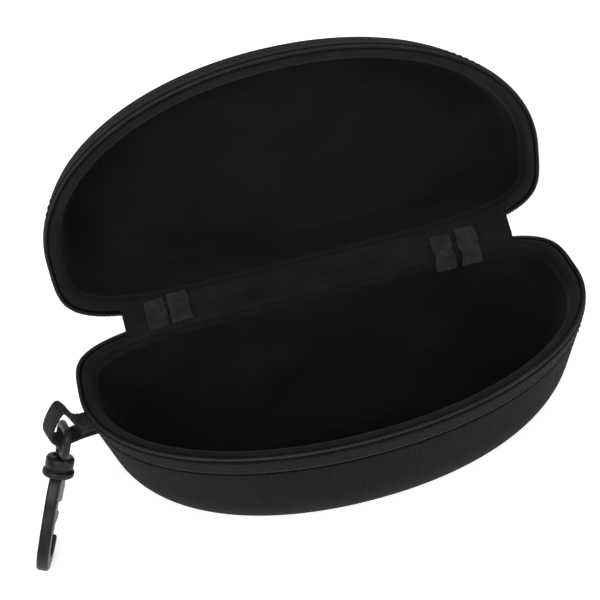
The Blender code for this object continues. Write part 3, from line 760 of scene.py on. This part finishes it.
def tape_end(side, centre, drop, rise, seed):
    """A cut end of zip tape, from the lid's rim over the crease to the base.

    With a positive drop it hangs down the inside of the base by that depth; with a negative one it stops on the
    base's rim, that far short of the inner wall.
    """
    random = np.random.default_rng(seed)
    width, points, strands = 7.0 * MM, 40, 26
    middle = abs(centre)
    wall = float(hinge_wall(BASE, middle + width / 2, WALL_TOP, LINING_INNER))
    start = float(hinge_wall(BASE, middle, 0.3 * MM, 0.0)) + 1.6 * MM
    path = [to_world(LID, centre, start + rise, 0.3 * MM),
            to_world(LID, centre, start + (rise + 0.95 * MM) / 2, 0.3 * MM),
            to_world(LID, centre, start + 0.95 * MM, 0.25 * MM),
            to_world(LID, centre, start + 0.65 * MM, 0.0, OPEN_ANGLE * 0.8),
            to_world(LID, centre, start + 0.1 * MM, 0.0, OPEN_ANGLE * 0.5),
            to_world(LID, centre, start + 0.65 * MM, 0.0, OPEN_ANGLE * 0.2),
            to_world(BASE, centre, start + 1.2 * MM, 0.25 * MM)]
    if drop > 0.0:
        path += [to_world(BASE, centre, wall - 0.4 * MM, 0.35 * MM),
                 to_world(BASE, centre, wall + 0.4 * MM, 0.8 * MM),
                 to_world(BASE, centre, wall + 0.55 * MM, 0.8 * MM + (drop - 0.8 * MM) * 0.4),
                 to_world(BASE, centre, wall + 0.65 * MM, drop)]
    else:
        path += [to_world(BASE, centre, wall + drop - 0.8 * MM, 0.36 * MM),
                 to_world(BASE, centre, wall + drop, 0.3 * MM)]
    line = smooth_line(path, points)
    slope = (float(hinge_wall(BASE, middle + 3.0 * MM, WALL_TOP, LINING_INNER))
             - float(hinge_wall(BASE, middle - 3.0 * MM, WALL_TOP, LINING_INNER))) / (6.0 * MM)
    across = np.array([1.0, -slope * np.sign(centre), 0.0])
    ragged = 1.0 + 0.05 * np.sin(np.linspace(0.0, 9.0, points) + seed) + 0.02 * random.standard_normal(points)
    meshes = [strip_mesh("tape", line, across, width, 0.5 * MM, widen=ragged)]
    direction = line[-1] - line[-2]
    direction /= np.linalg.norm(direction)
    for _ in range(strands):
        shift = across * (random.random() - 0.5) * width * 0.96
        reach = (0.3 + 0.8 * random.random()) * MM
        stray = [random.standard_normal() * 0.25, -abs(random.standard_normal()) * 0.2, 0.0]
        tip = direction * reach + np.array(stray) * MM
        root = line[-1] + shift - direction * 0.4 * MM
        meshes.append(tube_mesh("strand", [root, root + tip * 0.55, root + tip + direction * 0.4 * MM],
                                0.09 * MM, sides=4))
    name = side + "_tape_end"
    piece = add_piece(name, join_meshes(name, meshes), "raw_tape_cloth")
    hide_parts(side + "_tape_end_base", side + "_tape_end_lid")
    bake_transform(piece)


# ---- zip slider and pull --------------------------------------------------------------------
def zip_furniture():
    for node, edge_radius in (("zip_slider", 0.22), ("zip_pull", 0.22), ("base_zip_stop", 0.3),
                              ("lid_zip_stop", 0.3)):
        finish_cad_part(node, "zip_metal", edge_radius * MM)


# ---- webbing loop ---------------------------------------------------------------------------
def webbing_loop():
    """One strap, doubled and sewn into the seam, that stands open as a ring."""
    place = Matrix.Translation((-HALF_LENGTH, 1.6 * MM, RIM_Z)) @ Matrix.Rotation(math.radians(16.0), 4, "Z")
    width_axis, steps = (0.0, 1.0, 0.0), 110
    points = [(3.8, -2.4), (-0.2, -1.7), (-1.9, 0.0), (-2.75, 2.0), (-3.75, 5.1), (-5.3, 7.0), (-8.75, 3.6),
              (-10.8, -0.6), (-9.3, -4.0), (-5.6, -5.1), (-1.8, -5.4), (3.8, -6.4)]
    line = smooth_line([(x * MM, 0.0, z * MM) for x, z in points], steps)
    ragged = 1.0 + 0.012 * np.sin(np.linspace(0.0, 140.0, steps))
    strap = strip_mesh("strap", line, width_axis, 6.7 * MM, 1.15 * MM, crown=0.12, widen=ragged)
    swap_uvs(strap)
    tails_points = [(3.8, -4.4), (1.0, -3.9), (-1.7, -3.5)]
    tails_line = smooth_line([(x * MM, 0.0, z * MM) for x, z in tails_points], 24)
    tails = strip_mesh("tails", tails_line, width_axis, 6.5 * MM, 3.0 * MM)
    strap = join_meshes("webbing_loop", [strap, tails])
    strap.transform(place)
    piece = add_piece("webbing_loop", strap, "webbing_cloth")
    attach(piece, "base")
    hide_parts("strap_loop")
    stitches = []
    for side in (-2.2, 2.2):
        for x in (-1.5, -0.6, 0.3):
            level = 0.55 * max(0.0, 0.4 - x) - 0.9
            path = np.array([[x, side, level], [x + 0.35, side, level + 0.15], [x + 0.7, side, level - 0.1]])
            stitches.append(tube_mesh("stitch", path * MM, 0.17 * MM, sides=5))
    seam = join_meshes("webbing_stitches", stitches)
    seam.transform(place)
    sewn = add_piece("webbing_stitches", seam, "thread")
    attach(sewn, "base")


# ---- snap hook, drawn hanging down from the bar of its eye at the origin ---------------------
HOOK_PIVOT = Vector((-89.2 * MM, 0.5 * MM, RIM_Z - 1.9 * MM))
SWING_FRAME = Matrix.Translation(HOOK_PIVOT) @ Matrix.Rotation(math.radians(24.2), 4, "Y") \
    @ Matrix.Rotation(math.radians(-21.2), 4, "X")
HOOK_FRAME = SWING_FRAME @ Matrix.Rotation(math.radians(159.0), 4, "Z")


def revolve(name, profile, steps):
    """A turned solid about Z from (radius, height) pairs, both in millimetres."""
    spin = np.arange(steps) * math.tau / steps
    rows = [np.stack([radius * np.cos(spin), radius * np.sin(spin), np.full(steps, height)], axis=1) * MM
            for radius, height in profile]
    return grid_mesh(name, rows, capped=True)


def plate(name, points, thickness, rounding):
    """A flat moulding with rounded edges from a closed (across, along) outline in millimetres."""
    curve = bpy.data.curves.new(name, "CURVE")
    curve.dimensions = "2D"
    curve.fill_mode = "BOTH"
    curve.resolution_u = 10
    curve.extrude = thickness / 2 - rounding
    curve.bevel_depth = rounding
    curve.bevel_resolution = 3
    curve.offset = -rounding
    spline = curve.splines.new("BEZIER")
    spline.bezier_points.add(len(points) - 1)
    for target, (across, along) in zip(spline.bezier_points, points):
        target.co = (across * MM, along * MM, 0.0)
        target.handle_left_type = "AUTO"
        target.handle_right_type = "AUTO"
    spline.use_cyclic_u = True
    mesh = final_mesh(link_object(name, curve))
    mesh.transform(Matrix.Rotation(math.radians(90.0), 4, "Y") @ Matrix.Rotation(math.radians(90.0), 4, "Z"))
    mesh.shade_smooth()
    mesh.set_sharp_from_angle(angle=math.radians(50.0))
    return mesh


def cut_slot(mesh, centre, size):
    """The moulding with a box cut out of it."""
    box = bpy.data.meshes.new("slot")
    edit_mesh(box, lambda work: bmesh.ops.create_cube(work, size=1.0, matrix=Matrix.Translation(centre)
                                                      @ Matrix.Diagonal((*size, 1.0))))
    cutter = link_object("slot", box)
    holder = link_object("hook_plate", mesh)
    cut = holder.modifiers.new("slot", "BOOLEAN")
    cut.object = cutter
    cut.operation = "DIFFERENCE"
    slotted = final_mesh(holder)
    bpy.data.objects.remove(cutter, do_unlink=True)
    slotted.shade_smooth()
    slotted.set_sharp_from_angle(angle=math.radians(40.0))
    return slotted


def hook_piece(name, mesh, matrix, body):
    mesh.transform(matrix)
    edit_mesh(mesh, lambda work: bmesh.ops.remove_doubles(work, verts=work.verts, dist=0.02 * MM))
    mesh.materials.clear()
    piece = add_piece(name, mesh, "hook_plastic")
    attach(piece, body)
    return piece


def snap_hook():
    corner, half_width, drop, steps = 2.2, 5.8, 7.5, 10
    points = []
    for quarter, (across, along) in enumerate(((half_width - corner, -corner), (corner - half_width, -corner),
                                               (corner - half_width, corner - drop),
                                               (half_width - corner, corner - drop))):
        for step in range(steps):
            turn = math.pi / 2 * (quarter + step / (steps - 1))
            points.append((0.0, (across + corner * math.cos(turn)) * MM, (along + corner * math.sin(turn)) * MM))
    wire = tube_mesh("eye_wire", points, 1.2 * MM, sides=20, closed=True)
    post = revolve("eye_post", [(0.01, -6.7), (1.9, -6.9), (1.75, -8.0), (1.45, -8.6), (1.3, -9.0), (1.3, -12.8),
                                (2.0, -12.9), (2.1, -13.1), (2.1, -13.7), (1.9, -13.9), (0.01, -13.9)], 32)
    eye = hook_piece("hook_eye_ring", join_meshes("hook_eye_ring", [wire, post]), SWING_FRAME, "eye")
    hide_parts("hook_eye")

    collar = revolve("collar", [(1.62, -12.5), (1.62, -9.4), (1.8, -9.05), (3.4, -9.0), (4.0, -9.2),
                                (4.3, -9.6), (4.4, -10.1), (4.4, -12.2), (4.3, -12.6), (3.9, -12.8),
                                (3.8, -13.0), (4.0, -13.2), (4.5, -13.3), (4.8, -13.5), (4.9, -13.8),
                                (4.9, -14.7), (4.8, -15.05), (4.4, -15.35), (3.8, -15.5), (3.2, -16.0),
                                (0.01, -16.0)], 56)
    hook_piece("hook_collar_turned", collar, HOOK_FRAME, "hook")

    body = plate("hook_plate", [(-3.4, -14.9), (3.4, -14.9), (5.6, -19.0), (6.6, -27.0), (6.8, -36.0),
                                (5.8, -42.0), (1.4, -46.8), (-3.2, -46.2), (-6.0, -42.4), (-6.8, -39.0),
                                (-5.7, -37.4), (-4.3, -38.4), (-3.2, -41.2), (-0.4, -42.4), (2.4, -40.0),
                                (3.2, -34.0), (3.2, -25.6), (0.6, -24.0), (-2.0, -24.8), (-4.9, -25.6),
                                (-6.6, -22.8), (-6.2, -18.4)], 3.7 * MM, 0.75 * MM)
    body = cut_slot(body, (0.0, -5.4 * MM, -23.8 * MM), (2.2 * MM, 9.4 * MM, 8.2 * MM))
    moulding = hook_piece("hook_plate_moulded", body, HOOK_FRAME, "hook")
    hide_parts("hook_body")

    gate = plate("gate", [(-6.1, -20.1), (-3.2, -20.4), (-2.6, -23.2), (-3.4, -28.0), (-2.9, -36.6),
                          (-4.1, -37.5), (-5.5, -36.4), (-6.2, -34.2), (-9.6, -33.4), (-10.2, -31.6),
                          (-8.8, -30.6), (-6.8, -29.2), (-6.8, -22.6)], 1.6 * MM, 0.35 * MM)
    lever = hook_piece("hook_gate_lever", gate, HOOK_FRAME, "gate")
    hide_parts("hook_gate")
    finish_cad_part("gate_pin", "spring_steel", 0.15 * MM, segments=2)


# ---- build ----------------------------------------------------------------------------------
moulded_half(BASE)
moulded_half(LID)
hinge_fabric()
hinge_gusset()
tape_end("left_outer", -53.5 * MM, -0.9 * MM, 3.7 * MM, 3)
tape_end("left_inner", -45.5 * MM, -0.8 * MM, 5.1 * MM, 5)
tape_end("right_inner", 45.3 * MM, 6.2 * MM, 1.2 * MM, 7)
tape_end("right_outer", 54.3 * MM, 5.6 * MM, 1.6 * MM, 11)
zip_furniture()
webbing_loop()
snap_hook()


# ---- floor, light and camera ----------------------------------------------------------------
def area_light(name, location, target, size, power):
    light = bpy.data.lights.new(name, "AREA")
    light.shape = "RECTANGLE"
    light.size, light.size_y = size
    light.energy = power
    holder = link_object(name, light)
    holder.location = location
    holder.rotation_euler = (Vector(target) - Vector(location)).to_track_quat("-Z", "Y").to_euler()


def studio():
    """A plain white floor that glows a little, a white surround and three soft lights."""
    reach = 4.0
    floor_mesh = bpy.data.meshes.new("floor")
    floor_mesh.from_pydata([(-reach, -reach, 0), (reach, -reach, 0), (reach, reach, 0), (-reach, reach, 0)],
                           [], [(0, 1, 2, 3)])
    look = Nodes("floor_look", grey(0.9), 0.9)
    grain = look.noise(look.coordinates("Object", PER_METRE), 60.0, 3.0)
    look.colour(look.ramp(grain, grey(0.88), grey(0.91), 0.3, 0.7))
    look.shader.inputs["Emission Color"].default_value = (1.0, 1.0, 1.0, 1.0)
    look.shader.inputs["Emission Strength"].default_value = 0.55
    floor_mesh.materials.append(look.material)
    floor = link_object("floor", floor_mesh)
    floor.location = (0.0, 0.0, -0.2 * MM)

    world = bpy.data.worlds.new("studio")
    bpy.context.scene.world = world
    world.use_nodes = True
    surround = world.node_tree.nodes["Background"]
    surround.inputs["Color"].default_value = (1.0, 1.0, 1.0, 1.0)
    surround.inputs["Strength"].default_value = 0.33
    area_light("key", (-0.45, -0.8, 0.7), (0.0, 0.0, 0.03), (0.8, 0.6), 9.0)
    area_light("fill", (0.7, -0.6, 0.6), (0.0, 0.0, 0.03), (0.7, 0.7), 3.5)
    area_light("back", (0.1, 0.8, 0.9), (0.0, 0.03, 0.05), (1.0, 0.5), 3.5)
    bpy.context.scene.view_settings.view_transform = "Standard"
    bpy.context.scene.view_settings.look = "None"


def photo_camera():
    """The photograph's view: a long lens from the front, above and slightly left, aimed at the hinge."""
    turn, rise, roll = math.radians(9.72), math.radians(38.62), math.radians(-8.10)
    distance = 0.4512
    back = Vector((-math.sin(turn) * math.cos(rise), -math.cos(turn) * math.cos(rise), math.sin(rise)))
    level = Vector((math.cos(turn), -math.sin(turn), 0.0))
    above = back.cross(level)
    right = level * math.cos(roll) + above * math.sin(roll)
    up = above * math.cos(roll) - level * math.sin(roll)
    data = bpy.data.cameras.new("photo_camera")
    data.sensor_width = 36.0
    data.lens = 80.48
    data.shift_x = -0.0198
    data.shift_y = -0.0388
    camera = link_object("photo_camera", data)
    place = Matrix((right, up, back)).transposed().to_4x4()
    place.translation = Vector((0.0, HINGE_Y, RIM_Z)) + back * distance
    camera.matrix_world = place
    bpy.context.scene.camera = camera


studio()
photo_camera()
